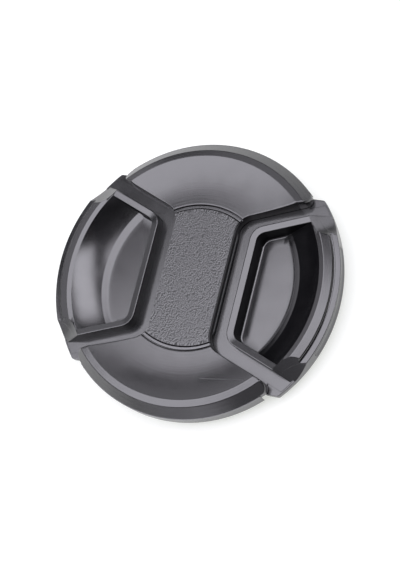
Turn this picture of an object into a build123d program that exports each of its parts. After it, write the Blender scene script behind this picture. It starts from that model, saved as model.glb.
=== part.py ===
from build123d import *
import os
from math import asin, cos, degrees, pi, radians, sin, sqrt, tan

# Centre-pinch lens cap, lying on its rear face with the front up.
# Z is the optical axis and X runs through the two latches. Millimetres and degrees.

# Filter ring that the cap holds on to
filter_thread = 58.0
thread_pitch = 0.75
spigot_clearance = 0.8
spigot_depth = 3.1
spigot_wall = 1.2
spigot_lead_in = 0.4

# Heights of the latch: up from the flange, and down from the lip
slider_lift = 0.5
slider_thickness = 1.2
lip_height = 3.1
tub_depth = 4.9
tub_floor = 0.9
tub_clearance = 0.3
rear_plate = 1.0

# Base
flange_overhang = 1.1
flange_thickness = 0.9
side_wall = 1.2
bay_gap = 0.9
bay_step = 0.2
bay_clearance = 0.3
slide_clearance = 0.1
rail_inset = 0.2
rail_width = 1.8
post_side = 3.4
post_x = 7.5
post_inset = 3.4
stop_length = 1.6
stop_width = 1.5
stop_clearance = 0.05
side_clearance = 0.15

# Front cover
crest_above_lip = 0.4
rim_inset = 0.15
bevel_width = 1.95
bevel_drop = 2.0
rim_edge = 0.15
rim_width = 1.4
rim_rise = 0.47
dish_drop = 1.12
cover_wall = 1.2
skirt_clearance = 0.2
pocket_radius = 15.9
pocket_depth = 0.85
pocket_wall = 0.95
notch_waist = 6.85
notch_half = 13.86
notch_angle = 20.7
notch_corner = 4.2
notch_end = 1.4
pin_side = 1.8
pin_length = 2.6
pin_clearance = 0.05

# Centre plate
plate_gap = 0.16
plate_thickness = 0.74
field_inset = 0.8
field_rise = 0.12

# Latch
travel = 2.2
slider_meet = 1.4
slider_inset = 0.27
ear_inner = 8.0
ear_outer = 11.0
ear_reach = 1.2
groove_width = 3.78
groove_side = 2.9
lip_wall = 1.45
lip_dip = 0.3
lip_corner = 3.4
recess_corner = 2.2
well_slope_width = 6.6
well_ramp_width = 1.3
well_ramp_angle = 22.0
well_wall_angle = 30.0
tub_inset = 3.0
land_width = 0.95
lip_bevel_width = 1.65
lip_bevel_drop = 0.6
cove_width = 0.75
ledge_drop = 1.35
ledge_width = 0.8
grip_stand = 1.55
grip_edge = 0.2
grip_groove_height = 2.7
grip_groove_depth = 0.25
grip_groove_angle = 21.4
block_lap = 1.6
block_wrap = 1.33
scallop_radius = 12.0
scallop_sag = 0.3
scallop_slope = 40.0
scallop_span = 11.8
scallop_end_inset = 0.7

# Thread tab under each latch
tab_half = 9.4
tab_wall = 1.4
tab_lift = 0.5
thread_reach = 0.05
thread_depth = 0.42
window_clearance = 0.6

# Springs between the latches
spring_y = 6.0
spring_lift = 1.25
spring_radius = 1.05
spring_wire = 0.32
spring_turns = 8
spring_sides = 8
spring_clearance = 0.04
slot_width = 3.0
seat_cover = 0.35
seat_wall = 1.2
peg_radius = 0.55
peg_length = 2.1

# Heights above the rear face
flange_z = spigot_depth
slider_bottom = flange_z + slider_lift
slider_top = slider_bottom + slider_thickness
lip_z = slider_top + lip_height
floor_z = lip_z - tub_depth
tub_bottom = floor_z - tub_floor
plate_top = tub_bottom - tub_clearance
plate_bottom = plate_top - rear_plate
bay_floor = flange_z - bay_step
latch_foot = bay_floor + slide_clearance
rail_top = slider_bottom - slide_clearance
crest_z = lip_z + crest_above_lip
rim_z = crest_z + rim_rise
dish_z = rim_z - dish_drop
bevel_foot_z = crest_z - bevel_drop
parting_z = bevel_foot_z - rim_edge
skirt_bottom = slider_top + skirt_clearance
pocket_floor = dish_z - pocket_depth
pocket_under = pocket_floor - pocket_wall
recess_z = lip_z - lip_dip
ledge_z = lip_z - ledge_drop
spring_z = tub_bottom + spring_lift

# Radii, from the filter ring outwards and back in
spigot_radius = filter_thread / 2 - spigot_clearance
spigot_inner = spigot_radius - spigot_wall
flange_radius = filter_thread / 2 + flange_overhang
wall_inner = flange_radius - side_wall
bevel_foot_radius = flange_radius - rim_inset
crest_radius = bevel_foot_radius - bevel_width
rim_radius = crest_radius - rim_width
plate_radius = pocket_radius - plate_gap
grip_radius = flange_radius + grip_stand
lip_outer_radius = grip_radius - ledge_width - cove_width
land_radius = lip_outer_radius - lip_bevel_width
recess_radius = land_radius - land_width
well_floor_radius = recess_radius - well_slope_width
tub_reach = recess_radius - tub_inset
beyond = 2 * grip_radius


def slant_y(x, inset):
    """Height in Y of a notch's slanted side at x, moved inwards by inset."""
    angle = radians(notch_angle)
    return notch_half + (x - notch_waist) * tan(angle) - inset / cos(angle)


def slant_end(inset, radius):
    """Point where that slanted side meets a circle about the axis."""
    slope = tan(radians(notch_angle))
    level = slant_y(0, inset)
    x = (sqrt((1 + slope**2) * radius**2 - level**2) - slope * level) / (1 + slope**2)
    return Vector(x, slant_y(x, inset), 0)


# Places in plan
rim_end = slant_end(0, bevel_foot_radius)
block_inner = rim_end.X - block_lap
block_half = rim_end.Y + block_wrap
bay_half = block_half + bay_gap
slider_half = rim_end.Y - slider_inset
rail_y = slider_half - rail_inset - rail_width / 2
post_y = spigot_inner - post_inset
lip_x = notch_waist + groove_width
slider_inner = travel + slider_meet
ear_half = slider_half + ear_reach
bay_inner = block_inner - travel - bay_clearance
rail_end = bay_inner - slide_clearance
stop_y = slider_half + side_clearance + stop_width / 2
outer_stop_x = ear_outer + stop_clearance + stop_length / 2
inner_stop_x = ear_inner - travel - stop_clearance - stop_length / 2
thread_tip = filter_thread / 2 - thread_reach
thread_root = thread_tip - thread_depth
tab_inner = thread_root - tab_wall
window_half = tab_half + window_clearance
window_inner = sqrt(tab_inner**2 - tab_half**2) - travel - window_clearance
spring_seat = notch_waist - seat_cover


def wedge(inner_x, inset, corner, outer_radius):
    """Trapezoid with rounded inner corners and a round outer edge; inset moves its slanted sides inwards."""
    near_y = slant_y(inner_x, inset)
    far_y = slant_y(beyond, inset)
    with BuildSketch(mode=Mode.PRIVATE) as outline:
        with BuildLine():
            Polyline((inner_x, -near_y), (beyond, -far_y), (beyond, far_y), (inner_x, near_y), close=True)
        make_face()
        fillet(outline.vertices().group_by(Axis.X)[0], corner)
        Circle(outer_radius, mode=Mode.INTERSECT)
    return outline.sketch


def turned_plane(angle):
    """Upright plane through Z, turned clockwise from XZ by an angle, with Z up in the sketch."""
    a = radians(angle)
    return Plane(origin=(0, 0, 0), x_dir=(cos(a), -sin(a), 0), z_dir=(-sin(a), -cos(a), 0))


# Base: rear plate, spigot, flange and side wall, turned as one section
with BuildPart() as base:
    with BuildSketch(Plane.XZ):
        with BuildLine():
            Polyline(
                (0, plate_bottom),
                (spigot_inner, plate_bottom),
                (spigot_inner, 0),
                (spigot_radius - spigot_lead_in, 0),
                (spigot_radius, spigot_lead_in),
                (spigot_radius, flange_z),
                (flange_radius, flange_z),
                (flange_radius, parting_z),
                (wall_inner, parting_z),
                (wall_inner, flange_z + flange_thickness),
                (spigot_inner, flange_z + flange_thickness),
                (spigot_inner, plate_top),
                (0, plate_top),
                close=True,
            )
        make_face()
    revolve(axis=Axis.Z)
    # Rails that the sliders run on
    with BuildSketch(Plane.XY.offset(plate_top)):
        with GridLocations(0, 2 * rail_y, 1, 2):
            Rectangle(2 * rail_end, rail_width)
    extrude(amount=rail_top - plate_top)
    # Stops at both ends of the ears' travel
    with BuildSketch(Plane.XY.offset(plate_top)):
        with GridLocations(2 * outer_stop_x, 2 * stop_y, 2, 2):
            Rectangle(stop_length, stop_width)
        with GridLocations(2 * inner_stop_x, 2 * stop_y, 2, 2):
            Rectangle(stop_length, stop_width)
    extrude(amount=slider_top - plate_top)
    # Hollow posts for the cover's pins
    with BuildSketch(Plane.XY.offset(plate_top)):
        with GridLocations(2 * post_x, 2 * post_y, 2, 2):
            Rectangle(post_side, post_side)
            Rectangle(pin_side + 2 * pin_clearance, pin_side + 2 * pin_clearance, mode=Mode.SUBTRACT)
    extrude(amount=parting_z - plate_top)
    # Bays that the latches slide in
    with BuildSketch(Plane.XY.offset(bay_floor)):
        with GridLocations(bay_inner + beyond, 0, 2, 1):
            Rectangle(beyond - bay_inner, 2 * bay_half)
    extrude(amount=parting_z, mode=Mode.SUBTRACT)
    # Rear windows for the thread tabs
    with BuildSketch(Plane.XY.offset(plate_bottom)):
        with GridLocations(window_inner + beyond, 0, 2, 1):
            Rectangle(beyond - window_inner, 2 * window_half)
    extrude(amount=parting_z, both=True, mode=Mode.SUBTRACT)

# Inside of the front cover, without the skirts round the notches
with BuildPart() as hollow:
    with BuildSketch(Plane.XZ):
        with BuildLine():
            Polyline(
                (pocket_radius + cover_wall, dish_z - cover_wall),
                (pocket_radius + cover_wall, pocket_under),
                (0, pocket_under),
                (0, 0),
                (beyond, 0),
                (beyond, parting_z),
                (wall_inner, parting_z),
                (rim_radius, rim_z - cover_wall),
                close=True,
            )
        make_face()
    revolve(axis=Axis.Z)
    with BuildSketch(Plane.XY):
        add(wedge(notch_waist - cover_wall, -cover_wall, notch_corner + cover_wall, 2 * beyond))
        mirror(about=Plane.YZ)
    extrude(amount=rim_z, mode=Mode.SUBTRACT)

# Front cover: the dished face and its rim, cut to an hourglass
with BuildPart() as front_cover:
    with BuildSketch(Plane.XZ):
        with BuildLine():
            Polyline(
                (rim_radius, rim_z),
                (crest_radius, crest_z),
                (bevel_foot_radius, bevel_foot_z),
                (bevel_foot_radius, skirt_bottom),
                (0, skirt_bottom),
                (0, pocket_floor),
                (pocket_radius, pocket_floor),
                (pocket_radius, dish_z),
            )
            TangentArc((pocket_radius, dish_z), (rim_radius, rim_z), tangent=(1, 0))
        make_face()
    revolve(axis=Axis.Z)
    add(hollow.part, mode=Mode.SUBTRACT)
    with BuildSketch(Plane.XY) as outline:
        Circle(bevel_foot_radius)
        add(wedge(notch_waist, 0, notch_corner, beyond), mode=Mode.SUBTRACT)
        mirror(wedge(notch_waist, 0, notch_corner, beyond), about=Plane.YZ, mode=Mode.SUBTRACT)
        fillet(outline.vertices().filter_by(lambda v: Vector(v).length > rim_radius), notch_end)
    extrude(amount=2 * rim_z, mode=Mode.INTERSECT)
    # Pads that seat on the base's posts, with the pins that press into them
    with BuildSketch(Plane.XY.offset(parting_z)):
        with GridLocations(2 * post_x, 2 * post_y, 2, 2):
            Rectangle(post_side, post_side)
    extrude(amount=dish_z - parting_z)
    with BuildSketch(Plane.XY.offset(parting_z - pin_length)):
        with GridLocations(2 * post_x, 2 * post_y, 2, 2):
            Rectangle(pin_side, pin_side)
    extrude(amount=pin_length)

# Centre plate: a disc cut off at the waist, with a raised field for the grain
with BuildPart() as centre_plate:
    with BuildSketch(Plane.XY.offset(pocket_floor)):
        Circle(plate_radius)
        add(wedge(notch_waist, 0, notch_corner, beyond), mode=Mode.SUBTRACT)
        mirror(wedge(notch_waist, 0, notch_corner, beyond), about=Plane.YZ, mode=Mode.SUBTRACT)
    extrude(amount=plate_thickness)
    with BuildSketch(Plane.XY.offset(pocket_floor + plate_thickness)):
        Circle(plate_radius - field_inset)
        add(wedge(notch_waist, 0, notch_corner, beyond), mode=Mode.SUBTRACT)
        mirror(wedge(notch_waist, 0, notch_corner, beyond), about=Plane.YZ, mode=Mode.SUBTRACT)
    extrude(amount=field_rise)

# Outer grip of a latch: land, bevel, cove, ledge and finger wall, ended by the slanted sides
with BuildPart() as grip:
    with BuildSketch(Plane.XZ):
        with BuildLine():
            Polyline(
                (tub_reach, latch_foot),
                (grip_radius, latch_foot),
                (grip_radius, ledge_z - grip_edge),
                (grip_radius - grip_edge, ledge_z),
                (lip_outer_radius + cove_width, ledge_z),
                (lip_outer_radius, lip_z - lip_bevel_drop),
                (land_radius, lip_z),
                (tub_reach, lip_z),
                close=True,
            )
        make_face()
    revolve(axis=Axis.Z)
    with BuildSketch(Plane.XY):
        add(wedge(lip_x, groove_side, lip_corner, beyond))
    extrude(amount=2 * lip_z, mode=Mode.INTERSECT)

# Hollow of the finger well: flat floor, a short ramp and a steeper, concave outer wall
ramp_end = (well_floor_radius + well_ramp_width, floor_z + well_ramp_width * tan(radians(well_ramp_angle)))
wall_direction = (cos(radians(well_wall_angle)), sin(radians(well_wall_angle)))
with BuildPart() as well:
    with BuildSketch(Plane.XZ):
        with BuildLine():
            Polyline(
                (recess_radius, recess_z),
                (recess_radius, 2 * lip_z),
                (0, 2 * lip_z),
                (0, floor_z),
                (well_floor_radius, floor_z),
                ramp_end,
            )
            TangentArc(ramp_end, (recess_radius, recess_z), tangent=wall_direction)
        make_face()
    revolve(axis=Axis.Z)
    with BuildSketch(Plane.XY):
        add(wedge(lip_x + lip_wall, groove_side + lip_wall, recess_corner, beyond))
    extrude(amount=2 * lip_z, mode=Mode.INTERSECT)

with BuildPart() as right_latch:
    # Slider plate with its stop ears and spring slots
    with BuildSketch(Plane.XY.offset(slider_bottom)):
        with Locations(((slider_inner + block_inner) / 2, 0)):
            Rectangle(block_inner - slider_inner, 2 * slider_half)
        with Locations(((ear_inner + ear_outer) / 2, 0)):
            Rectangle(ear_outer - ear_inner, 2 * ear_half)
        with Locations((slider_inner, spring_y), (slider_inner, -spring_y)):
            Rectangle(2 * (spring_seat - slider_inner), slot_width, mode=Mode.SUBTRACT)
    extrude(amount=slider_thickness)
    # End block that wraps round the cover's rim ends
    with BuildSketch(Plane.XY.offset(latch_foot)):
        Circle(grip_radius)
        with Locations(((block_inner + beyond) / 2, 0)):
            Rectangle(beyond - block_inner, 2 * block_half, mode=Mode.INTERSECT)
    extrude(amount=slider_top - latch_foot)
    # Tub of the finger well, and the grip outside it
    with BuildSketch(Plane.XY.offset(tub_bottom)):
        add(wedge(lip_x, groove_side, lip_corner, tub_reach))
    extrude(amount=lip_z - tub_bottom)
    add(grip.part)
    add(well.part, mode=Mode.SUBTRACT)
    # Lip that slopes into the well
    with BuildSketch(Plane.XY.offset(recess_z)):
        add(wedge(lip_x + lip_wall, groove_side + lip_wall, recess_corner, recess_radius))
    with BuildSketch(Plane.XY.offset(lip_z)):
        add(wedge(lip_x, groove_side, lip_corner, land_radius))
    loft(mode=Mode.SUBTRACT)
    # Scallops where the cap's bevel runs out into the grip
    for side in (1, -1):
        start = slant_end(groove_side, recess_radius)
        end_radius = lip_outer_radius - scallop_end_inset
        end_angle = radians(90 - start.get_angle(Vector(0, 1, 0)) - scallop_span)
        start = Vector(start.X, side * start.Y, lip_z)
        end = Vector(end_radius * cos(end_angle), side * end_radius * sin(end_angle), lip_z)
        chord = (end - start).normalized()
        outward = Vector(-side * chord.Y, side * chord.X, 0)
        slope = radians(scallop_slope)
        fall = Vector(outward.X * cos(slope), outward.Y * cos(slope), -sin(slope))
        with BuildSketch(Plane(origin=(start + end) * 0.5, x_dir=chord, z_dir=fall)):
            with Locations((0, -side * (scallop_radius - scallop_sag))):
                Circle(scallop_radius)
        extrude(amount=lip_z, both=True, mode=Mode.SUBTRACT)
    # Shallow finger groove along the outer wall
    with BuildSketch(turned_plane(grip_groove_angle)):
        with Locations((grip_radius, (latch_foot + ledge_z) / 2)):
            Rectangle(2 * grip_groove_depth, grip_groove_height)
    revolve(axis=Axis.Z, revolution_arc=2 * grip_groove_angle, mode=Mode.SUBTRACT)
    # Thread tab
    tab_angle = degrees(asin(tab_half / thread_tip))
    teeth = int((latch_foot - tab_lift) / thread_pitch)
    tooth_points = []
    for tooth in range(teeth):
        tooth_points.append((thread_tip, tab_lift + (tooth + 0.5) * thread_pitch))
        tooth_points.append((thread_root, tab_lift + (tooth + 1) * thread_pitch))
    with BuildSketch(turned_plane(tab_angle)):
        with BuildLine():
            Polyline(
                (tab_inner, slider_bottom),
                (tab_inner, tab_lift),
                (thread_root, tab_lift),
                *tooth_points,
                (thread_root, slider_bottom),
                close=True,
            )
        make_face()
    revolve(axis=Axis.Z, revolution_arc=2 * tab_angle)
    # Spring seats with their pegs
    with BuildSketch(Plane.XY.offset(tub_bottom)):
        with Locations((spring_seat + seat_wall / 2, spring_y), (spring_seat + seat_wall / 2, -spring_y)):
            Rectangle(seat_wall, slot_width)
    extrude(amount=slider_bottom - tub_bottom)
    with BuildSketch(Plane.YZ.offset(spring_seat)):
        with Locations((spring_y, spring_z), (-spring_y, spring_z)):
            RegularPolygon(peg_radius, 6)
    extrude(amount=-peg_length)

with BuildPart() as left_latch:
    mirror(right_latch.part, about=Plane.YZ)


def coil(y):
    """Compression spring along X between the latches' seats, its turns made of short straight lengths."""
    length = 2 * (spring_seat - spring_wire / 2 - spring_clearance)
    steps = spring_turns * spring_sides
    points = []
    for step in range(steps + 1):
        angle = 2 * pi * step / spring_sides
        x = length * (step / steps - 0.5)
        points.append((x, y + spring_radius * cos(angle), spring_z + spring_radius * sin(angle)))
    with BuildPart() as spring:
        with BuildLine() as path:
            Polyline(*points)
        with BuildSketch(Plane(origin=path.line @ 0, z_dir=path.line % 0)):
            RegularPolygon(spring_wire / 2, 4)
        sweep(transition=Transition.RIGHT)
    return spring


upper_spring = coil(spring_y)
lower_spring = coil(-spring_y)

pieces = {
    "base": base,
    "front_cover": front_cover,
    "centre_plate": centre_plate,
    "left_latch": left_latch,
    "right_latch": right_latch,
    "upper_spring": upper_spring,
    "lower_spring": lower_spring,
}
os.makedirs("parts", exist_ok=True)
for name, piece in pieces.items():
    piece.part.label = name
    export_step(piece.part, f"parts/{name}.step")
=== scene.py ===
# %% [markdown]
# # A centre-pinch lens cap
#
# The cap lies on its rear rim with the front up. It has a base, a dished front cover cut to an hourglass,
# a leather-grained plate in the middle, two sprung latches with finger wells, and two hidden springs. The
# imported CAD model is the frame: it gives the places, and this lesson gives the cap its real edges, grain
# and plastic.

import bmesh
import bpy
import numpy as np
from mathutils import Matrix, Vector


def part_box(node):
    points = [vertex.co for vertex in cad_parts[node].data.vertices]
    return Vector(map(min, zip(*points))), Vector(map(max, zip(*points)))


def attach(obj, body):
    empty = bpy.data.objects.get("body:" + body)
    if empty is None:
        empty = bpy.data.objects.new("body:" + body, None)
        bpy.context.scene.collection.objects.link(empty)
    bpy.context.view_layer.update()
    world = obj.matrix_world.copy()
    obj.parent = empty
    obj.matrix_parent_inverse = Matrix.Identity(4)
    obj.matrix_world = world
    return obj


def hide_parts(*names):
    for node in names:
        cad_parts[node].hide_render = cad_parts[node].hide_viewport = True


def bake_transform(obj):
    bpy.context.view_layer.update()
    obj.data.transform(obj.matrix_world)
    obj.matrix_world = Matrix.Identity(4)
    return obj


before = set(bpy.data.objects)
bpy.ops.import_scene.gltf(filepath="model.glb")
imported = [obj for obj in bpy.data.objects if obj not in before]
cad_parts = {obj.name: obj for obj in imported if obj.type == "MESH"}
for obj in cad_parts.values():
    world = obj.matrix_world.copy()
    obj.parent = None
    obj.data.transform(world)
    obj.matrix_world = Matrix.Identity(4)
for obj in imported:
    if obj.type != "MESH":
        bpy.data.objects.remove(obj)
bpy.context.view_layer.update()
MM = 0.001

# %% [markdown]
# ## Sizes
#
# The outer sizes are read from the boxes of the CAD nodes, so that the dressed pieces stay where the CAD
# says. The sizes of the hourglass outline are needed by three pieces: each notch has a straight waist, a
# round corner and a slanted side that runs out through the rim. Everything is in millimetres and radians.

# %% Outline of the notches


def side(node, axis, end):
    """One side of a CAD node's box in millimetres: axis 0 to 2, end 0 for low and 1 for high."""
    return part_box(node)[end][axis] / MM


foot_radius = side("front_cover", 1, 1)
notch_waist = 6.85
notch_half = 13.86
notch_angle = np.radians(20.7)
notch_corner = 4.2
notch_end = 1.4
outline_y = np.linspace(8.0, 25.0, 2000)


def slant_y(x, inset):
    """y of a notch's slanted side at x: a line at the notch angle, moved into the notch by inset."""
    return notch_half + (x - notch_waist) * np.tan(notch_angle) - inset / np.cos(notch_angle)


def slant_end(inset, radius):
    """Point where that line meets a circle about the axis, from the quadratic for x."""
    slope = np.tan(notch_angle)
    level = slant_y(0, inset)
    x = (np.sqrt((1 + slope**2) * radius**2 - level**2) - slope * level) / (1 + slope**2)
    return x, slant_y(x, inset)


def corner_reach(corner):
    """Length along both sides that a round corner between the waist and the slanted side takes up."""
    return corner * np.tan(np.pi / 4 - notch_angle / 2)


def notch_x(y):
    """x of the notch's outline at y: the straight waist, the corner's circle, then the slanted line."""
    reach = corner_reach(notch_corner)
    rise = np.clip(y - (notch_half - reach), 0, notch_corner)
    round_x = notch_waist + notch_corner - np.sqrt(notch_corner**2 - rise**2)
    slant_x = notch_waist + (y - notch_half) / np.tan(notch_angle)
    return np.where(y > notch_half + reach * np.sin(notch_angle), slant_x, round_x)


def edge_angle(radius):
    """Angle from +Y at which a circle meets the notch; near the rim, a circle of radius notch_end rounds
    the end, and the law of cosines gives where the two circles meet."""
    outline_x = notch_x(outline_y)
    along = np.interp(radius, np.hypot(outline_x, outline_y), np.arctan2(outline_x, outline_y))
    centre = np.array(slant_end(-notch_end, foot_radius - notch_end))
    reach = np.hypot(*centre)
    tangent = centre + notch_end * np.array([np.sin(notch_angle), -np.cos(notch_angle)])
    across = (radius**2 + reach**2 - notch_end**2) / (2 * radius * reach)
    round_end = np.arctan2(*centre) + np.arccos(np.clip(across, -1, 1))
    return np.where(radius > np.hypot(*tangent), round_end, along)


print("rim ends at", np.round(np.degrees(edge_angle(np.array([foot_radius]))), 2), "degrees from +Y")

# %% [markdown]
# ## Surfaces from loops
#
# Every piece of this cap is a tube in disguise: a row of closed loops, joined by quads and shut at both
# ends. A moulding could also be built from boxes and cut, but loops keep the quads in line with the
# edges, so that the fine roundings, which draw the thin bright lines on a black moulding, shade cleanly.

# %% Shells, roundings and pieces
merge_distance = 0.002
edge_support = 0.06


def tube_shell(loops, caps=None):
    """Closed shell from loops (rows, columns, 3): quads between loops, and the caps over both ends."""
    rows, columns = loops.shape[:2]
    index = np.arange(rows * columns).reshape(rows, columns)
    ahead = np.roll(index, -1, axis=1)
    quads = np.stack([index[:-1], ahead[:-1], ahead[1:], index[1:]], axis=-1).reshape(-1, 4).tolist()
    for cap in caps or [np.arange(columns)]:
        quads.append(index[0][cap].tolist())
        quads.append(index[-1][cap].tolist())
    return loops.reshape(-1, 3), quads


def rounded(points, radii, steps=4, support=edge_support):
    """Polyline with round corners, one radius a corner and 0 for a sharp one: each corner becomes an arc
    that touches both its sides, with one more point just outside each end of the arc, which keeps the
    flats flat under smooth shading."""
    points = np.asarray(points, float)
    made = [points[:1]]
    for before, corner, after, radius in zip(points[:-2], points[1:-1], points[2:], radii):
        if radius == 0:
            made.append(corner[None])
            continue
        a = (before - corner) / np.linalg.norm(before - corner)
        b = (after - corner) / np.linalg.norm(after - corner)
        half = np.arccos(a @ b) / 2
        reach = radius / np.tan(half)
        centre = corner + (a + b) / np.linalg.norm(a + b) * radius / np.sin(half)
        sweep = np.pi - 2 * half
        t = np.linspace(0, 1, steps + 1)[:, None]
        start = corner + a * reach - centre
        end = corner + b * reach - centre
        arc = centre + (np.sin((1 - t) * sweep) * start + np.sin(t * sweep) * end) / np.sin(sweep)
        made += [(corner + a * (reach + support))[None], arc, (corner + b * (reach + support))[None]]
    made.append(points[-1:])
    return np.concatenate(made)


def finish_mesh(mesh, crease):
    """Merges doubled points, turns the faces outwards and shades smooth up to the crease angle."""
    work = bmesh.new()
    work.from_mesh(mesh)
    bmesh.ops.remove_doubles(work, verts=work.verts, dist=merge_distance * MM)
    bmesh.ops.recalc_face_normals(work, faces=work.faces)
    work.to_mesh(mesh)
    work.free()
    mesh.shade_smooth()
    mesh.set_sharp_from_angle(angle=np.radians(crease))


def piece(name, shells, crease=40, rough_shade=None):
    """One object from closed shells in millimetres, with faces outwards and edges sharper than crease
    kept crisp. An array of marks, from 0 to 1, tells which points of its first shell are left rough and
    get painted shade in the material."""
    points = np.concatenate([shell[0] for shell in shells]) * MM
    faces = []
    first = 0
    for shell_points, shell_faces in shells:
        faces += [[first + corner for corner in face] for face in shell_faces]
        first += len(shell_points)
    mesh = bpy.data.meshes.new(name)
    mesh.from_pydata(points, [], faces)
    # The marks go to the material, which makes those points rougher and paints shade on them
    if rough_shade is not None:
        marks = np.zeros(len(points), np.float32)
        marks[:rough_shade.size] = rough_shade.ravel()
        mesh.attributes.new("rough_shade", "FLOAT", "POINT").data.foreach_set("value", marks)
    finish_mesh(mesh, crease)
    made = bpy.data.objects.new(name, mesh)
    bpy.context.scene.collection.objects.link(made)
    triangles = sum(len(face.vertices) - 2 for face in mesh.polygons)
    print(name, len(mesh.vertices), "vertices", triangles, "triangles")
    return made


# %% [markdown]
# ## The front cover and the centre plate
#
# Both are straps cut to the same hourglass: rows run from the lower rim to the upper one, and each row is
# a closed loop over the top, down the wall of one notch, back underneath and up the other wall. In the
# round ends the rows are circles about the axis. Across the waist they are squeezed between those
# circles, so the notch's own outline is always the end of a row.

# %% Straps cut to the hourglass
# Down a notch's wall come the turns of the edge's rounding, and then points that step out into the toe:
# toe_shape is how far, in toes, and toe_rise how high above the toe's top
edge_turn = np.radians([22.5, 45, 67.5, 90])
toe_shape = np.array([0, 0, -0.7, -1, -1, 0])
toe_rise = np.array([0.15, 0, -0.08, -0.3])
wall_columns = len(edge_turn) + len(toe_shape)


def strap_rows(section, waist_rows):
    """Radius, share and top of a strap's rows: the section (radius, height) turned round for the lower
    end, rows across the waist at its first point, and the section again for the upper end."""
    ends = np.ones(len(section))
    waist = np.linspace(-1, 1, waist_rows + 2)[1:-1]
    share = np.concatenate([-ends, waist, ends])
    radius, top = (np.concatenate([values[::-1], np.full(waist_rows, values[0]), values])
                   for values in section.T)
    return radius, share, top


def strap(radius, share, top, under, foot, edge_round, skirt, columns, toe=0.0, toe_top=0.0,
          under_steps=1000):
    """Loops of a strap. A row is a circle of its radius, times share in y: 1 and -1 are the round ends,
    and between them lies the waist. Across it, x = edge * sin(f a) / sin(a) and y = share * radius *
    cos(f a), where a is the circle's angle at the notch and f runs from -1 to 1. From the edge, a quarter
    circle of edge_round leads down to the wall, which may stand out in a toe, and a skirt is the wall's
    thickness. Underneath, f takes only so many steps, and points that fall together are merged later."""
    rows = len(radius)
    radius, share, top, under, edge_round, toe = (
        np.broadcast_to(np.asarray(value, float), rows)[:, None]
        for value in (radius, share, top, under, edge_round, toe))
    angle = edge_angle(radius)
    y_edge = share * radius * np.cos(angle)
    x_edge = np.where(np.abs(share) < 1, notch_x(np.abs(y_edge)), radius * np.sin(angle))
    width = x_edge * angle / np.sin(angle)
    level = np.linspace(-1, 1, columns)
    inner = np.concatenate([[-1], level * (1 - 0.5 / columns), [1]])
    flat = inner * (1 - (edge_round + edge_support * (np.abs(inner) < 1)) / width)
    wall_away = toe * toe_shape + [0, 0, 0, 0, 0, skirt]
    away = np.concatenate([edge_round * (1 - np.sin(edge_turn)), wall_away], 1)
    wall_z = np.array([*(toe_top + toe_rise), foot, foot])
    edge_z = top - edge_round * (1 - np.cos(edge_turn))
    down_z = np.concatenate([edge_z, np.broadcast_to(wall_z, (rows, len(wall_z)))], 1)
    down_z = np.maximum(np.minimum(down_z, top), foot)
    below = -np.round(level * under_steps) / under_steps * (1 - skirt / width)
    f = np.concatenate([flat, 1 - away / width, below, (away / width - 1)[:, ::-1]], 1)
    top_z = np.broadcast_to(top, flat.shape)
    under_z = np.broadcast_to(under, below.shape)
    z = np.concatenate([top_z, down_z, under_z, down_z[:, ::-1]], 1)
    x = x_edge * np.sin(f * angle) / np.sin(angle)
    return np.stack([x, share * radius * np.cos(f * angle), z], axis=-1)


def strap_caps(columns):
    """Faces that shut a strap's end: quads from top to underside, and one face over each wall's end."""
    tops = np.arange(columns + 2)
    right_wall = columns + 2
    under = right_wall + wall_columns
    left_wall = under + columns
    unders = under + np.arange(columns)[::-1]
    caps = [[tops[j + 1], tops[j + 2], unders[j + 1], unders[j]] for j in range(columns - 1)]
    right = np.arange(right_wall - 2, under + 1)
    left = np.concatenate([np.arange(left_wall - 1, left_wall + wall_columns), [0, 1]])
    return [np.array(cap) for cap in caps + [right, left]]


# %% Front cover
rim_z = side("front_cover", 2, 1)
parting_z = side("base", 2, 1)
pocket_floor = side("centre_plate", 2, 0)
pocket_radius = 15.9
pocket_wall = 0.95
dish_depth = 1.12
dish_power = 2.7
rim_rise = 0.47
rim_width = 1.4
bevel_width = 1.95
bevel_drop = 2.0
cover_wall = 1.2
skirt_bottom = 5.0
toe_reach = 0.35
toe_top = 5.55
toe_end = 12.2
toe_taper = 1.5
dish_edge = 0.16
bevel_edge = 0.46
# Share of the full mark, more roughness and painted shade, that the walls outside the wells get
wall_rough_shade = 0.6
dish_z = rim_z - dish_depth
crest_z = rim_z - rim_rise
crest_radius = foot_radius - bevel_width
rim_radius = crest_radius - rim_width
bevel_foot_z = crest_z - bevel_drop

# The dish rises to the rim as a power of the way there. The bevel has more rows towards its foot, where
# the notch's end is round
dish_r = np.linspace(pocket_radius + 0.6, rim_radius - 0.5, 26)
dish_way = (dish_r - pocket_radius) / (rim_radius - pocket_radius)
dish = np.stack([dish_r, dish_z + dish_depth * dish_way**dish_power], axis=1)
bevel_way = np.array([0.3, 0.5, 0.7, 0.82, 0.91, 0.965])[:, None]
bevel = (1 - bevel_way) * [crest_radius, crest_z] + bevel_way * [foot_radius, bevel_foot_z]
cover_section = rounded(
    [(pocket_radius, pocket_floor), (pocket_radius, dish_z), *dish, (rim_radius, rim_z),
     (crest_radius, crest_z), *bevel, (foot_radius, bevel_foot_z), (foot_radius, parting_z)],
    [0.28] + [0] * len(dish) + [0.5, 0.45] + [0] * len(bevel) + [0.05],
)
cover_r, cover_share, cover_top = strap_rows(cover_section, 39)
pocket_outside = pocket_radius + cover_wall
cover_under = np.interp(
    cover_r,
    [pocket_outside, pocket_outside + 0.01, rim_radius, foot_radius - 1.05, foot_radius],
    [pocket_floor - pocket_wall, dish_z - cover_wall, rim_z - cover_wall, parting_z, parting_z - 0.05],
)
waist_y = np.abs(cover_share) * slant_end(0, pocket_radius)[1]
cover_toe = toe_reach * np.clip((toe_end - waist_y) / toe_taper, 0, 1)
cover_edge = np.interp(cover_r, [rim_radius - 0.6, rim_radius + 0.2], [dish_edge, bevel_edge])
cover_columns = 72
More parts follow.
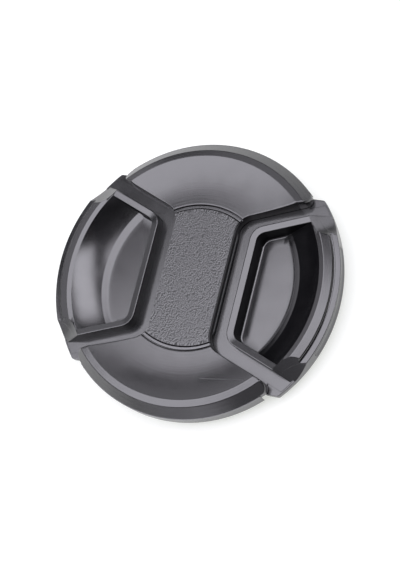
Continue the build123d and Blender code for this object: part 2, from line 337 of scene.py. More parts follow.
cover_loops = strap(cover_r, cover_share, cover_top, cover_under, skirt_bottom, cover_edge, cover_wall,
                    cover_columns, toe=cover_toe, toe_top=toe_top)

# The walls of the notches are marked rough and get painted shade, on the left together with the edge above
# them
column = np.arange(cover_loops.shape[1])
on_right = (column > cover_columns + 4) & (column < cover_columns + 2 + wall_columns)
on_left = column > 2 * cover_columns + 2 + wall_columns
cover_rough_shade = wall_rough_shade * np.outer(cover_r < rim_radius, on_right | on_left)
cover_shell = tube_shell(cover_loops, strap_caps(cover_columns))
front_cover = piece("cover_moulding", [cover_shell], rough_shade=cover_rough_shade)

# %% [markdown]
# The plate's leather grain is embossed: pebbles about a third of a millimetre wide with creases between
# them. A bump map would do from far off, but real relief also shows at the plate's cut edges and keeps
# its look in any light. The pebbles are domes round scattered points, and the creases lie where the two
# nearest points are equally far.

# %% Centre plate
plate_radius = side("centre_plate", 1, 1)
field_z = side("centre_plate", 2, 1)
field_inset = 0.8
field_rise = 0.12
groove_depth = 0.3
groove_width = 0.24
plate_wall = 0.3
plate_edge = 0.1
pebble = 0.35
grain_depth = 0.06
grain_cells = 101
dome_reach = 0.8
crease_width = 0.3
crease_depth = 0.4
# Mark of roughness and painted shade in the creases of the grain
crease_rough_shade = 0.4
field_radius = plate_radius - field_inset
border_z = field_z - field_rise
groove_z = border_z - groove_depth


def leather_grain(x, y):
    """Height from 0 to 1 of a pebbled grain: domes 1 - (f1 / dome_reach)^2 round jittered grid points, f1
    being the distance to the nearest point in pebbles, that sink into creases where the nearest two, f1
    and f2, meet; each has its own height."""
    random = np.random.default_rng(58)
    jitter = random.uniform(0.0, 1.0, (grain_cells, grain_cells, 2))
    height = random.uniform(0.75, 1.0, (grain_cells, grain_cells))
    u, v = x / pebble, y / pebble
    cell_u, cell_v = np.floor(u).astype(int), np.floor(v).astype(int)
    f1, f2, tall = np.full(u.shape, 9.0), np.full(u.shape, 9.0), np.zeros(u.shape)
    for step_u, step_v in [(i, j) for i in (-1, 0, 1) for j in (-1, 0, 1)]:
        i, j = cell_u + step_u, cell_v + step_v
        point = jitter[i % grain_cells, j % grain_cells]
        distance = np.hypot(i + point[..., 0] - u, j + point[..., 1] - v)
        nearer = distance < f1
        f2 = np.where(nearer, f1, np.minimum(f2, distance))
        tall = np.where(nearer, height[i % grain_cells, j % grain_cells], tall)
        f1 = np.where(nearer, distance, f1)
    crease = np.clip((f2 - f1) / crease_width, 0, 1)
    dome = np.clip(1 - (f1 / dome_reach) ** 2, 0, 1)
    return tall * dome * (1 - crease_depth + crease_depth * crease * crease * (3 - 2 * crease))


plate_section = rounded(
    [(field_radius - 0.5, field_z), (field_radius, field_z), (field_radius + 0.02, groove_z),
     (field_radius + groove_width - 0.04, groove_z), (field_radius + groove_width, border_z),
     (plate_radius, border_z), (plate_radius, pocket_floor)],
    [0.06, 0.0, 0.0, 0.05, 0.1], steps=3, support=0.03,
)
plate_r, plate_share, plate_top = strap_rows(plate_section, 379)
plate_columns = 180
plate_loops = strap(plate_r, plate_share, plate_top, np.full(len(plate_r), pocket_floor), pocket_floor,
                    plate_edge, plate_wall, plate_columns, toe_top=pocket_floor + 0.3, under_steps=6)
field = (plate_loops[..., 2] > border_z + 0.1) * (plate_r < field_radius - 0.02)[:, None]
field[:, plate_columns + 2:] = False
grain = leather_grain(plate_loops[..., 0], plate_loops[..., 1]) - 1
plate_loops[..., 2] += np.where(field, grain * grain_depth, 0)
in_groove = (plate_r > field_radius - 0.01) & (plate_r < field_radius + groove_width - 0.01)
# The creases of the grain and the groove round the field are marked rough and get painted shade
plate_rough_shade = np.where(field, -crease_rough_shade * grain, in_groove[:, None])
plate_shell = tube_shell(plate_loops, strap_caps(plate_columns))
centre_plate = piece("grained_plate", [plate_shell], crease=80, rough_shade=plate_rough_shade)

# %% [markdown]
# ## The latches
#
# One latch is one moulding, and it takes the most skill: a finger well with a concave outer wall, a lip
# that slopes into it, an outer grip with a bevel, a cove, a ledge and a groove, and a scallop at each end
# where the cap's own bevel runs out over the grip. Loops round the well follow it from the floor up the
# wall, over the lip and down the outside. The slider, the end blocks, the thread tab and the spring seats
# are plain shells that grow out of that one.

# %% Sizes of the finger well and the grip
lip_z = side("right_latch", 2, 1)
grip_radius = side("right_latch", 0, 1)
tub_depth = 4.9
tub_floor = 0.9
tub_inset = 3.0
lip_dip = 0.3
lip_wall = 1.45
lip_inset = 2.9
lip_gap = 3.78
lip_corner = 3.4
well_corner = 2.2
well_slope_width = 6.6
ramp_width = 1.3
ramp_angle = np.radians(22.0)
bowl_angle = np.radians(30.0)
land_width = 0.95
lip_bevel_width = 1.65
lip_bevel_drop = 0.6
cove_width = 0.75
ledge_drop = 1.35
ledge_width = 0.8
grip_groove_depth = 0.25
grip_groove_half = 1.35
grip_groove_angle = np.radians(21.4)
grip_groove_end = np.radians(0.35)
scallop_radius = 12.0
scallop_sag = 0.3
scallop_slope = np.radians(40)
scallop_span = np.radians(11.8)
scallop_end_inset = 0.7

recess_z = lip_z - lip_dip
floor_z = lip_z - tub_depth
tub_bottom = floor_z - tub_floor
latch_foot = floor_z
ledge_z = lip_z - ledge_drop
lip_x = notch_waist + lip_gap
ledge_radius = grip_radius - ledge_width
lip_outer_radius = ledge_radius - cove_width
land_radius = lip_outer_radius - lip_bevel_width
recess_radius = land_radius - land_width
well_floor_radius = recess_radius - well_slope_width
tub_reach = recess_radius - tub_inset
scallop_start = np.array(slant_end(lip_inset, recess_radius))
scallop_end_angle = np.arctan2(scallop_start[1], scallop_start[0]) - scallop_span
scallop_end_radius = lip_outer_radius - scallop_end_inset
scallop_end = scallop_end_radius * np.array([np.cos(scallop_end_angle), np.sin(scallop_end_angle)])
print("well floor at", round(floor_z, 2), "mm, lip at", round(lip_z, 2), "mm")

# %% Loops round the finger well
straight_columns = 10
corner_columns = 12
slant_columns = 40
inner_columns = straight_columns + corner_columns


def scallop(x, y, z, along_x, along_y):
    """Slides points that lie inside the scallop's cylinder along a plan direction until they lie on it,
    by six of Newton's steps. The cylinder falls outwards at its slope and hollows the chord from its
    start to its end by its sag."""
    chord = (scallop_end - scallop_start) / np.linalg.norm(scallop_end - scallop_start)
    outward = np.array([-chord[1], chord[0]])
    middle = (scallop_start + scallop_end) / 2
    for step in range(6):
        a = (x - middle[0]) * chord[0] + (y - middle[1]) * chord[1]
        h = np.sin(scallop_slope) * ((x - middle[0]) * outward[0] + (y - middle[1]) * outward[1])
        h = h + np.cos(scallop_slope) * (z - lip_z)
        root = np.sqrt(np.maximum(scallop_radius**2 - a**2, 0.01))
        excess = np.where(np.abs(a) < scallop_radius, h - (scallop_radius - scallop_sag - root), -1)
        slope = np.sin(scallop_slope) * (along_x * outward[0] + along_y * outward[1])
        slope = slope - a / root * (along_x * chord[0] + along_y * chord[1])
        move = np.where(excess > 0, excess / np.maximum(slope, 0.2), 0)
        x, y = x - move * along_x, y - move * along_y
    return x, y


def finger_groove(angle, z):
    """Depth of the hollow along the grip: a parabola over its height, with short steep ends."""
    middle = (latch_foot + ledge_z) / 2
    along = np.clip((grip_groove_angle - np.abs(angle)) / grip_groove_end, 0, 1)
    return grip_groove_depth * along * np.clip(1 - ((z - middle) / grip_groove_half) ** 2, 0, 1)


def well_loops(offset, offset_z, radius, radius_z):
    """Loops of one latch. A row has an offset outwards from the well's wall and an outer radius, each
    with its height: half a loop runs along the straight inner side, round its corner, out along the
    slanted side, where one height passes over into the other, and back along the outer circle, with more
    columns where the scallop is. The other half is its mirror image in y."""
    offset, offset_z, radius, radius_z = (
        np.asarray(value, float)[:, None] for value in (offset, offset_z, radius, radius_z))
    inner_x = lip_x + lip_wall - offset
    inset = lip_inset + lip_wall - offset
    corner = well_corner + (lip_corner - well_corner) * offset / lip_wall
    reach = corner_reach(corner)
    near_y = slant_y(inner_x, inset)
    end_x, end_y = slant_end(inset, radius)
    s = np.linspace(0, 1, straight_columns, endpoint=False)
    straight_x = inner_x + 0 * s
    straight_y = s * (near_y - reach)
    turn = np.linspace(0, np.pi / 2 - notch_angle, corner_columns, endpoint=False)
    corner_x = inner_x + corner * (1 - np.cos(turn))
    corner_y = near_y - reach + corner * np.sin(turn)
    s = np.sin(np.linspace(0, np.pi / 2, slant_columns))
    start_x = inner_x + reach * np.cos(notch_angle)
    start_y = near_y + reach * np.sin(notch_angle)
    slant_z = offset_z + s * (radius_z - offset_z)
    slant = scallop(start_x + s * (end_x - start_x), start_y + s * (end_y - start_y), slant_z,
                    np.cos(notch_angle), np.sin(notch_angle))
    share = np.concatenate([np.linspace(1, 0.6, 91)[1:], np.linspace(0.6, 0, 41)[1:]])
    angle = np.arctan2(end_y, end_x) * share
    grip = radius - finger_groove(angle, radius_z) * (radius > ledge_radius)
    arc = scallop(grip * np.cos(angle), grip * np.sin(angle), radius_z, np.cos(angle), np.sin(angle))
    inner_z = np.broadcast_to(offset_z, (len(offset), inner_columns))
    x = np.concatenate([straight_x, corner_x, slant[0], arc[0]], axis=1)
    y = np.concatenate([straight_y, corner_y, slant[1], arc[1]], axis=1)
    z = np.concatenate([inner_z, slant_z, np.broadcast_to(radius_z, arc[0].shape)], axis=1)
    half = np.stack([x, y, z], axis=-1)
    return np.concatenate([half, half[:, -2:0:-1] * [1, -1, 1]], axis=1)


# %% [markdown]
# The rows of the latch come from two profiles, one through the straight inner wall and one through the
# outer wall and the grip. Both are read at the same heights: up from the floor to the crest of the lip,
# and down outside.

# %% Rows of the latch, from the well's floor to its underside
ramp_end = np.array([well_floor_radius + ramp_width, floor_z + ramp_width * np.tan(ramp_angle)])
rise = np.array([recess_radius, recess_z]) - ramp_end
lean = np.array([-np.sin(bowl_angle), np.cos(bowl_angle)])
bowl = rise @ rise / (2 * rise @ lean)
bowl_centre = ramp_end + bowl * lean
bowl_z = np.linspace(ramp_end[1], recess_z, 16)[1:-1]
bowl_r = bowl_centre[0] + np.sqrt(bowl**2 - (bowl_z - bowl_centre[1]) ** 2)
cove_turn = np.linspace(0, np.pi / 2, 9)[1:-1]
cove_r = ledge_radius - cove_width * np.cos(cove_turn)
cove_z = lip_z - lip_bevel_drop - cove_width * np.sin(cove_turn)
inner_wall = rounded(
    [(-0.7, floor_z), (0, floor_z), (0, recess_z), (lip_wall, lip_z), (lip_wall, latch_foot)],
    [0.35, 0.14, 0.18],
)
outer_wall = rounded(
    [(well_floor_radius - 0.8, floor_z), (well_floor_radius, floor_z), ramp_end,
     *zip(bowl_r, bowl_z), (recess_radius, recess_z), (land_radius, lip_z),
     (lip_outer_radius, lip_z - lip_bevel_drop), *zip(cove_r, cove_z), (ledge_radius, ledge_z),
     (grip_radius, ledge_z - 0.02), (grip_radius, latch_foot), (grip_radius - 0.5, latch_foot - 0.01)],
    [1.6, 0.3] + [0] * len(bowl_r) + [0.14, 0.3, 0.08] + [0] * len(cove_r) + [0, 0.16, 0.35],
)


def split(profile):
    """The rising part of a profile (value, height), the falling part turned round, and its crest."""
    peak = np.argmax(profile[:, 1])
    return profile[1:peak + 1], profile[peak:][::-1], profile[peak, 1]


inner_up, inner_down, inner_crest = split(inner_wall)
outer_up, outer_down, outer_crest = split(outer_wall)
up_z = np.unique(np.round(np.concatenate([inner_up[:, 1], outer_up[:, 1]]), 3))
even_z = np.linspace(latch_foot, outer_crest, 76)
down_z = np.unique(np.round(np.concatenate([inner_down[:, 1], outer_down[:, 1], even_z]), 3))[-2::-1]
row_z = np.concatenate([up_z, down_z, [latch_foot, tub_bottom]])


def read_rows(rising, falling, last):
    """A profile's values at the rows' heights, up and down; the two rows of the underside take the last."""
    up = np.interp(up_z, rising[:, 1], rising[:, 0])
    down = np.interp(down_z, falling[:, 1], falling[:, 0])
    return np.concatenate([up, down, [last, last]])


row_offset = read_rows(inner_up, inner_down, lip_wall)
row_radius = read_rows(outer_up, outer_down, tub_reach)
latch_loops = well_loops(row_offset, np.minimum(row_z, inner_crest), row_radius, row_z)
latch_columns = latch_loops.shape[1]

# The floor and the underside are filled by loops that shrink to the well's middle
well_middle = np.array([(lip_x + well_floor_radius) / 2 + 0.7, 0])
shrink = np.array([0.0, 0.3, 0.6, 0.85])[:, None, None]
fill_rows = len(shrink)
fill_z = np.ones((fill_rows, latch_columns, 1))
floor_plan = well_middle + shrink * (latch_loops[:1, :, :2] - well_middle)
under_plan = well_middle + shrink[::-1] * (latch_loops[-1:, :, :2] - well_middle)
floor_loops = np.concatenate([floor_plan, fill_z * floor_z], axis=-1)
under_loops = np.concatenate([under_plan, fill_z * tub_bottom], axis=-1)
well_shell = tube_shell(np.concatenate([floor_loops, latch_loops, under_loops]))

# The straight and slanted walls are marked rough and get painted shade inside the well, and less so outside
# the lip
row = np.arange(len(row_z))
on_inside = (row < len(up_z)) & (row_z > floor_z + 0.3) & (row_z < recess_z - 0.03)
on_outside = (row >= len(up_z)) & (row_z < lip_z - 0.25)
column = np.arange(latch_columns)
from_middle = np.minimum(column, latch_columns - column)
on_straight = np.clip((inner_columns + slant_columns - from_middle) / 8, 0, 1)
well_rough_shade = np.zeros((len(row_z) + 2 * fill_rows, latch_columns))
well_rough_shade[fill_rows:-fill_rows] = np.outer(on_inside + wall_rough_shade * on_outside, on_straight)
print("latch loops:", len(row_z), "rows of", latch_columns)

# %% Sizes of the slider, end blocks, thread tab and spring seats
slider_drop = 3.1
slider_thickness = 1.2
slider_gap = 0.27
ear_reach = 1.2
ear_inner = 8.0
ear_outer = 11.0
block_lap = 1.6
block_corner = 0.7
block_steps = 12
step_in = 0.25
thread_tip = 28.95
thread_root = 28.53
thread_pitch = 0.75
tab_inner = 27.13
tab_half = 9.4
spring_y = 6.0
spring_lift = 1.25
seat_cover = 0.35
seat_wall = 1.2
slot_half = 1.5

slider_top = lip_z - slider_drop
slider_bottom = slider_top - slider_thickness
slider_inner = side("right_latch", 0, 0)
block_half = side("right_latch", 1, 1)
tab_foot = side("right_latch", 2, 0)
rim_end_x, rim_end_y = slant_end(0, foot_radius)
block_inner = rim_end_x - block_lap
slider_half = rim_end_y - slider_gap
ear_half = slider_half + ear_reach
spring_z = tub_bottom + spring_lift
spring_seat = notch_waist - seat_cover
print("slider top at", round(slider_top, 2), "mm, springs at", round(spring_z, 2), "mm")

# %% Slider, end blocks, thread tab and spring seats


def slab(outline, low, high, edge_round=0.12, foot_round=0.0):
    """Plate from an anticlockwise plan outline: upright sides, and a quarter-round top edge whose loops
    move inwards along each corner's mitre, (n1 + n2) / (1 + n1 . n2), where n1 and n2 are the inward
    normals of its two sides. The foot may be rounded in the same way."""
    outline = np.asarray(outline, float)
    forward = np.roll(outline, -1, axis=0) - outline
    forward = forward / np.linalg.norm(forward, axis=1, keepdims=True)
    inward = np.stack([-forward[:, 1], forward[:, 0]], axis=1)
    before = np.roll(inward, 1, axis=0)
    mitre = (inward + before) / (1 + np.sum(inward * before, axis=1, keepdims=True))
    turn = np.radians([0, 30, 60, 90])
    foot_in = foot_round * (1 - np.sin(turn))
    edge_in = edge_round * (1 - np.cos(turn))
    move = np.concatenate([foot_in, edge_in, [edge_round + 0.05]])[:, None, None]
    foot_z = low + foot_round * (1 - np.cos(turn))
    edge_z = high - edge_round * (1 - np.sin(turn))
    z = np.concatenate([foot_z, edge_z, [high]])[:, None, None]
    plan = outline + move * mitre
    return tube_shell(np.concatenate([plan, np.broadcast_to(z, plan.shape[:2] + (1,))], axis=-1))


def both_sides(outline):
    """The outline and its mirror image in y, run the other way round."""
    outline = np.asarray(outline, float)
    return [outline, outline[::-1] * [1, -1]]


def arc_points(radius, start, end, steps):
    """Points of a circle about the axis from one plan point's direction to another's."""
    turn = np.linspace(np.arctan2(start[1], start[0]), np.arctan2(end[1], end[0]), steps)
    return np.stack([radius * np.cos(turn), radius * np.sin(turn)], axis=1)


# The slider's arms end inside the well's walls, where their ends are hidden
hidden = lip_inset + 0.7
hidden_x = lip_x + 0.57
step_radius = grip_radius - step_in
arm = np.array([
    (hidden_x, slant_y(hidden_x, hidden)),
    *arc_points(step_radius, slant_end(hidden, step_radius), slant_end(step_in, step_radius), 8),
    (block_inner, slant_y(block_inner, step_in)), (block_inner, slider_half), (ear_outer, slider_half),
    (ear_outer, ear_half), (ear_inner, ear_half), (ear_inner, slider_half), (slider_inner, slider_half)])
slots = [(slider_inner, spring_y + slot_half), (spring_seat, spring_y + slot_half),
         (spring_seat, spring_y - slot_half), (slider_inner, spring_y - slot_half)]
slider = np.concatenate([arm, slots, (np.array(slots) * [1, -1])[::-1], (arm * [1, -1])[::-1]])
block_end = (np.sqrt(grip_radius**2 - block_half**2), block_half)
block_arc = arc_points(grip_radius, slant_end(hidden, grip_radius), block_end, block_steps)
block = rounded(
    [(block_inner, slant_y(block_inner, hidden)), *block_arc, (block_inner, block_half)],
    [0] * (block_steps - 1) + [block_corner],
)
seat = [(spring_seat, spring_y - slot_half), (spring_seat + seat_wall, spring_y - slot_half),
        (spring_seat + seat_wall, spring_y + slot_half), (spring_seat, spring_y + slot_half)]
plates = [slab(slider, slider_bottom, slider_top)]
plates += [slab(half, latch_foot, slider_top - 0.08, foot_round=0.35) for half in both_sides(block)]
plates += [slab(half, tub_bottom, slider_bottom + 0.1) for half in both_sides(seat)]

teeth = [(r, tab_foot + thread_pitch / 2 * step) for step, r in enumerate([thread_root, thread_tip] * 3)]
tab_section = np.array([
    (tab_inner, slider_bottom), (tab_inner, tab_foot), *teeth, (thread_root, slider_bottom)])
turn = np.linspace(-1, 1, 41)[:, None] * np.arcsin(tab_half / thread_tip)
tab_z = np.broadcast_to(tab_section[:, 1], (len(turn), len(tab_section)))
tab_loops = np.stack([tab_section[:, 0] * np.cos(turn), tab_section[:, 0] * np.sin(turn), tab_z], axis=-1)

latch_shells = [well_shell, tube_shell(tab_loops)] + plates
mirrored_shells = [(points * [-1, 1, 1], faces) for points, faces in latch_shells]
right_latch = piece("right_latch_moulding", latch_shells, rough_shade=well_rough_shade)
left_latch = piece("left_latch_moulding", mirrored_shells, rough_shade=well_rough_shade)

# %% [markdown]
# ## The springs and the base
#
# Each spring is wound from round wire, with its last turn laid close. It is made as two halves that meet
# in the middle, one on the side of each latch. The base is a plain moulding that is mostly hidden, so it
# keeps the CAD solid's shape in a merged copy. Its CAD triangles are long and uneven, so its round walls
# get exact normals, or they would shade in teeth.

# %% Springs
spring_radius = 1.05
wire_radius = 0.16
half_turns = 5.0
closed_turn = 0.35
spring_reach = spring_seat - wire_radius - 0.04


def half_spring(y, direction):
    """Helix tube from the middle to one seat: x grows with the turns but slows over the last one, which
    lies close. The wire's circle lies in the plane of the radius and of the curve's own normal to it."""
    s = np.linspace(0, 1, 181)
    closing = np.clip(s * half_turns - (half_turns - 1), 0, 1)
    x = s * half_turns - closing**2 * closed_turn
    x = direction * x / x[-1] * spring_reach
    angle = 2 * np.pi * half_turns * s
    out = np.stack([0 * s, np.cos(angle), np.sin(angle)], axis=1)
    path = np.stack([x, y + 0 * s, spring_z + 0 * s], axis=1) + spring_radius * out
    ahead = np.gradient(path, axis=0)
    ahead = ahead / np.linalg.norm(ahead, axis=1, keepdims=True)
    across = np.cross(ahead, out)
    ring = np.linspace(0, 2 * np.pi, 10, endpoint=False)[None, :, None]
    return path[:, None] + wire_radius * (np.cos(ring) * out[:, None] + np.sin(ring) * across[:, None])


springs = []
for node, y in (("upper_spring", spring_y), ("lower_spring", -spring_y)):
    for body, direction in (("left_latch", -1), ("right_latch", 1)):
        half = piece(f"{node}_{body.split('_')[0]}_half", [tube_shell(half_spring(y, direction))])
        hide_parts(node)
        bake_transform(half)
        springs.append(half)

# %% Base
wall_cosine = 0.985


def round_walls(mesh):
    """Shades a merged CAD mesh: on walls about the optical axis each corner takes the radial direction
    (x, y, 0) / r, and on all other faces the face's own normal."""
    corners = np.empty(len(mesh.loops), np.int32)
    mesh.loops.foreach_get("vertex_index", corners)
    points = np.empty(len(mesh.vertices) * 3, np.float32)
    mesh.vertices.foreach_get("co", points)
    face_corners = np.empty(len(mesh.polygons), np.int32)
    mesh.polygons.foreach_get("loop_total", face_corners)
    face_normals = np.empty(len(mesh.polygons) * 3, np.float32)
    mesh.polygons.foreach_get("normal", face_normals)
    radial = points.reshape(-1, 3)[corners] * [1, 1, 0]
    radial = radial / np.maximum(np.linalg.norm(radial, axis=1, keepdims=True), 1e-6)
    normals = np.repeat(face_normals.reshape(-1, 3), face_corners, axis=0)
    outward = np.sum(radial * normals, axis=1, keepdims=True)
    on_wall = np.abs(outward) > wall_cosine
    mesh.normals_split_custom_set(np.where(on_wall, radial * np.sign(outward), normals))


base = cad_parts["base"].copy()
base.data = base.data.copy()
base.name = "base_moulding"
for key in [key for key in base.keys() if key.startswith("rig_")]:
    del base[key]
bpy.context.scene.collection.objects.link(base)
finish_mesh(base.data, 30)
round_walls(base.data)
print("base", len(base.data.vertices), "vertices")

for made, body, node, slot in ((base, "base", "base", "base_plastic"),
                               (front_cover, "base", "front_cover", "cover_plastic"),
                               (centre_plate, "base", "centre_plate", "grained_plastic"),
                               (left_latch, "left_latch", "left_latch", "latch_plastic"),
                               (right_latch, "right_latch", "right_latch", "latch_plastic")):
    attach(made, body)
    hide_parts(node)

# %% [markdown]
# ## Materials
#
# All the mouldings are black ABS. It isn't painted: what the eye reads is the soft reflection of the room
# on a satin skin, so the colour is a very dark grey and the roughness does the work. Handling polishes
# the skin unevenly, and the mould's fine spark texture breaks up the reflection. The upright walls were
# left as rough as spark erosion makes them, so they are marked rough on the meshes. The same mark turns
# their reflection down as painted shade, and so it does in the plate's groove and the creases of its
# grain, which keeps all of these almost black.
# The cover also has faint turned rings and one hairline scratch.

# %% Node helper and colour


def linear(hex_colour):
    """An sRGB hex colour as linear red, green, blue and alpha."""
    value = np.array([int(hex_colour[i:i + 2], 16) for i in (1, 3, 5)]) / 255
    value = np.where(value <= 0.04045, value / 12.92, ((value + 0.055) / 1.055) ** 2.4)
    return (*value, 1.0)


def add_node(tree, kind, inputs=None, **settings):
    """Adds a node: settings are its own properties, and inputs sets or links its sockets."""
    made = tree.nodes.new("ShaderNode" + kind)
    for name, value in settings.items():
        setattr(made, name, value)
    for socket, value in (inputs or {}).items():
        if isinstance(value, bpy.types.NodeSocket):
            tree.links.new(value, made.inputs[socket])
        else:
            made.inputs[socket].default_value = value
    return made


def new_material(name):
    """An empty node material, its tree and the object coordinates."""
    made = bpy.data.materials.new(name)
    made.use_nodes = True
    tree = made.node_tree
    tree.nodes.clear()
    place = add_node(tree, "TexCoord").outputs["Object"]
    return made, tree, place


# %% Black ABS
# The spark texture and the turned rings are really finer than 0.1 mm, and are drawn coarser to show
polish_patch = 4.0 * MM
grit_size = 0.25 * MM
grit_strength = 0.12
ring_width = 0.4 * MM
relief = 0.02 * MM
# Where a piece is fully marked, its reflection falls to this share as painted shade, and its roughness
# rises by the next
painted_shade_shine = 0.06
matte_roughness = 0.3
scratch_half_width = 0.09 * MM
scratch_roughness = 0.12


def hairline(tree, place, start, end):
    """1 on a thin straight mark between two plan points, and 0 elsewhere: a point's distance along the
    line and its distance aside from it are each compared with the mark's middle."""
    start, end = np.array(start) * MM, np.array(end) * MM
    run = (end - start) / np.linalg.norm(end - start)
    aside = np.array([-run[1], run[0]])
    middle = run @ (start + end) / 2
    half = run @ (end - start) / 2
    along = add_node(tree, "VectorMath", {0: place, 1: (*run, 0)}, operation="DOT_PRODUCT")
    across = add_node(tree, "VectorMath", {0: place, 1: (*aside, 0)}, operation="DOT_PRODUCT")
    near = add_node(tree, "Math", {
        0: across.outputs["Value"], 1: aside @ start, 2: scratch_half_width}, operation="COMPARE")
    inside = add_node(tree, "Math", {0: along.outputs["Value"], 1: middle, 2: half}, operation="COMPARE")
    both = {0: near.outputs["Value"], 1: inside.outputs["Value"]}
    return add_node(tree, "Math", both, operation="MULTIPLY").outputs["Value"]


def satin_abs(name, colour, roughness, spun=0.0, ior=1.6, scratch=None):
    """Moulded black ABS with a fine satin texture; spun adds faint turned rings about the optical axis,
    and scratch is the plan start and end of a hairline. Where a piece is marked, it is rougher and mirrors
    little, partly from real roughness and partly from painted shade. The IOR of ABS is about 1.54, and a
    little more matches the sheen in the photo."""
    made, tree, place = new_material(name)
    # The marks raise the roughness and turn the reflection down, which is painted shade
    rough_shade = add_node(tree, "Attribute", attribute_name="rough_shade").outputs["Fac"]
    shaded_shine = add_node(tree, "MapRange", {"Value": rough_shade, "To Min": 1.0, "To Max": painted_shade_shine})
    cloud = add_node(tree, "TexNoise", {"Vector": place, "Scale": 1 / polish_patch, "Detail": 3.0})
    satin = add_node(tree, "MapRange", {
        "Value": cloud.outputs["Fac"], "From Min": 0.3, "From Max": 0.7,
        "To Min": roughness - 0.02, "To Max": roughness + 0.03})
    rough = add_node(tree, "Math", {
        0: rough_shade, 1: matte_roughness, 2: satin.outputs["Result"]}, operation="MULTIPLY_ADD")
    if scratch is not None:
        mark = hairline(tree, place, *scratch)
        rough = add_node(tree, "Math", {
            0: mark, 1: scratch_roughness, 2: rough.outputs["Value"]}, operation="MULTIPLY_ADD")
    grit = add_node(tree, "TexNoise", {"Vector": place, "Scale": 1 / grit_size, "Detail": 2.0})
    bump = add_node(tree, "Bump", {
        "Height": grit.outputs["Fac"], "Strength": grit_strength, "Distance": relief})
    if spun:
        flat = add_node(tree, "VectorMath", {0: place, 1: (1, 1, 0)}, operation="MULTIPLY")
        reach = add_node(tree, "VectorMath", {0: flat.outputs["Vector"]}, operation="LENGTH")
        rings = add_node(tree, "TexNoise", {
            "W": reach.outputs["Value"], "Scale": 1 / ring_width, "Detail": 2.0}, noise_dimensions="1D")
        bump = add_node(tree, "Bump", {
            "Height": rings.outputs["Fac"], "Strength": spun, "Distance": relief,
            "Normal": bump.outputs["Normal"]})
    shader = add_node(tree, "BsdfPrincipled", {
        "Base Color": linear(colour), "IOR": ior, "Specular IOR Level": shaded_shine.outputs["Result"],
        "Roughness": rough.outputs["Value"], "Normal": bump.outputs["Normal"]})
    add_node(tree, "OutputMaterial", {"Surface": shader.outputs["BSDF"]})
    return made


cover_abs = satin_abs("satin_abs_turned", "#0c0c0e", 0.23, spun=0.3, scratch=[(7.5, -20.9), (17.1, -19.6)])
latch_abs = satin_abs("satin_abs", "#0c0c0e", 0.2)
base_abs = satin_abs("satin_abs_base", "#0e0e10", 0.25)
grained_abs = satin_abs("grained_abs", "#0c0c0e", 0.22, ior=1.68)


# %% Spring steel
def drawn_wire(name, colour):
    """Bright steel wire whose drawing marks, a fifth of a millimetre apart, make its gloss uneven."""
    made, tree, place = new_material(name)
    drawn = add_node(tree, "TexNoise", {"Vector": place, "Scale": 1 / (0.2 * MM), "Detail": 1.0})
    satin = add_node(tree, "MapRange", {"Value": drawn.outputs["Fac"], "To Min": 0.2, "To Max": 0.35})
    shader = add_node(tree, "BsdfPrincipled", {
        "Base Color": linear(colour), "Metallic": 1.0, "Roughness": satin.outputs["Result"]})
    add_node(tree, "OutputMaterial", {"Surface": shader.outputs["BSDF"]})
    return made


wire = drawn_wire("spring_steel_wire", "#b4b5b8")

for made, finish in ((front_cover, cover_abs), (centre_plate, grained_abs), (left_latch, latch_abs),
                     (right_latch, latch_abs), (base, base_abs), *((half, wire) for half in springs)):
    made.data.materials.clear()
    made.data.materials.append(finish)
print("materials:", [finish.name for finish in bpy.data.materials])

# %% [markdown]
# ## Floor, light and camera
#
# A black moulding shows its shape by what it mirrors. One wide softbox hangs above the cap, just far
# enough aside that its edge runs across the flats. Three panels stand round it, on the right, behind and
# on the left, for the bevels and the walls of the wells. Two more in front open up the near side, and a
# low strip behind on the right lights the edges that face it. All are a little cool. The floor is white
# to the camera and in reflections, and still takes the cap's shadow.

# %% Floor and room
floor_half = 2.0
floor_corners = [(x * floor_half, y * floor_half, 0) for x, y in ((-1, -1), (1, -1), (1, 1), (-1, 1))]
floor_mesh = bpy.data.meshes.new("floor")
floor_mesh.from_pydata(floor_corners, [], [(0, 1, 2, 3)])
floor = bpy.data.objects.new("floor", floor_mesh)
bpy.context.scene.collection.objects.link(floor)


def white_paper(name):
    """Grey paper that takes the shadow, with a glow on top for camera, glossy and transmission rays
    alone. Near the cap the two add up to white, and further off, where the lamps fade, the glow grows to
    keep it so."""
    made, tree, place = new_material(name)
    seen = add_node(tree, "LightPath").outputs
    mirrored = add_node(tree, "Math", {
        0: seen["Is Glossy Ray"], 1: seen["Is Transmission Ray"]}, operation="MAXIMUM")
    shown = add_node(tree, "Math", {
        0: seen["Is Camera Ray"], 1: mirrored.outputs["Value"]}, operation="MAXIMUM")
    away = add_node(tree, "VectorMath", {0: place}, operation="LENGTH")
    far = add_node(tree, "MapRange", {
        "Value": away.outputs["Value"], "From Min": 0.25, "From Max": 0.7, "To Min": 1.0, "To Max": 1.8})
    strength = add_node(tree, "Math", {
        0: shown.outputs["Value"], 1: far.outputs["Result"]}, operation="MULTIPLY")
    glow = add_node(tree, "Emission", {"Color": linear("#c5c7c2"), "Strength": strength.outputs["Value"]})
    lit = add_node(tree, "BsdfDiffuse", {"Color": linear("#c0c0c0")})
    added = add_node(tree, "AddShader", {0: lit.outputs["BSDF"], 1: glow.outputs["Emission"]})
    add_node(tree, "OutputMaterial", {"Surface": added.outputs["Shader"]})
    return made


floor_mesh.materials.append(white_paper("white_paper"))

world = bpy.data.worlds.new("room")
bpy.context.scene.world = world
world.use_nodes = True
world.node_tree.nodes["Background"].inputs["Color"].default_value = linear("#272727")
world.node_tree.nodes["Background"].inputs["Strength"].default_value = 1.0
print("floor of", 2 * floor_half, "m")

# %% Lamps
lamp_tint = linear("#f7f5ff")[:3]


def facing(right, up):
    """Rotation matrix of an object that looks along its own -Z, from its right and up directions."""
    return Matrix(np.stack([right, up, np.cross(right, up)], axis=1).tolist()).to_4x4()


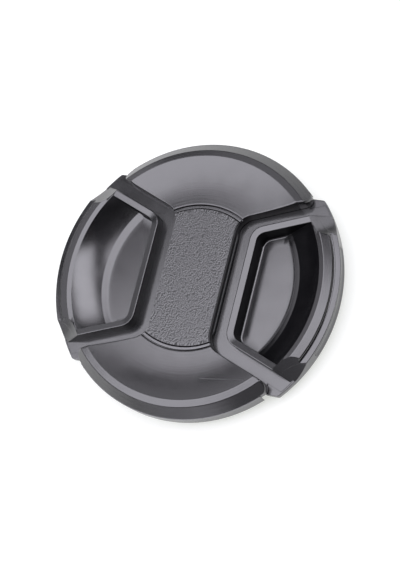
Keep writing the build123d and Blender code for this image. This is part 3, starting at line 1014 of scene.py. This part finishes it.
def panel(name, azimuth, elevation, distance, width, height, radiance, spin=0):
    """Area lamp that looks at the cap from an azimuth (from +X) and an elevation, in degrees and metres.
    Its watts are pi * area * radiance, where a radiance of 1 would show a mirror white, and spin turns it
    about its own axis."""
    lamp = bpy.data.lights.new(name, "AREA")
    lamp.shape = "RECTANGLE"
    lamp.size = width
    lamp.size_y = height
    lamp.energy = np.pi * width * height * radiance
    lamp.color = lamp_tint
    made = bpy.data.objects.new(name, lamp)
    bpy.context.scene.collection.objects.link(made)
    a, e = np.radians(azimuth), np.radians(elevation)
    back = np.array([np.cos(e) * np.cos(a), np.cos(e) * np.sin(a), np.sin(e)])
    right = np.array([-np.sin(a), np.cos(a), 0])
    turn = facing(right, np.cross(back, right)) @ Matrix.Rotation(np.radians(spin), 4, "Z")
    made.matrix_world = Matrix.Translation(back * distance) @ turn
    print(name, "at", azimuth, "and", elevation, "degrees,", round(lamp.energy, 2), "W")


panel("overhead_softbox", -143.4, 78.9, 0.55, 0.52, 1.0, 3.0, spin=3.4)
panel("right_panel", 32, 37, 0.6, 0.45, 0.216, 3.9)
panel("back_panel", 114, 42, 0.6, 0.55, 0.318, 0.81)
panel("left_panel", 166, 28, 0.6, 0.65, 0.28, 0.85)
panel("near_panel", -116, 12, 0.6, 1.13, 0.16, 1.0)
panel("near_fill", -64, 24, 0.6, 0.705, 0.28, 0.34)
panel("right_strip", 61, 12, 0.6, 0.44, 0.105, 2.07)

# %% Camera
camera_place = np.array([122.66, -68.19, 283.99])
camera_right = np.array([0.9097, 0.2413, -0.3379])
camera_up = np.array([-0.1431, 0.9461, 0.2906])
camera = bpy.data.objects.new("camera", bpy.data.cameras.new("camera"))
bpy.context.scene.collection.objects.link(camera)
camera.data.sensor_width = 36.0
camera.data.lens = 93.9
camera.data.clip_start = 0.01
camera.matrix_world = Matrix.Translation(camera_place * MM) @ facing(camera_right, camera_up)
bpy.context.scene.camera = camera
bpy.context.scene.view_settings.view_transform = "Standard"
print("camera", round(float(np.linalg.norm(camera_place))), "mm from the rear rim's middle")
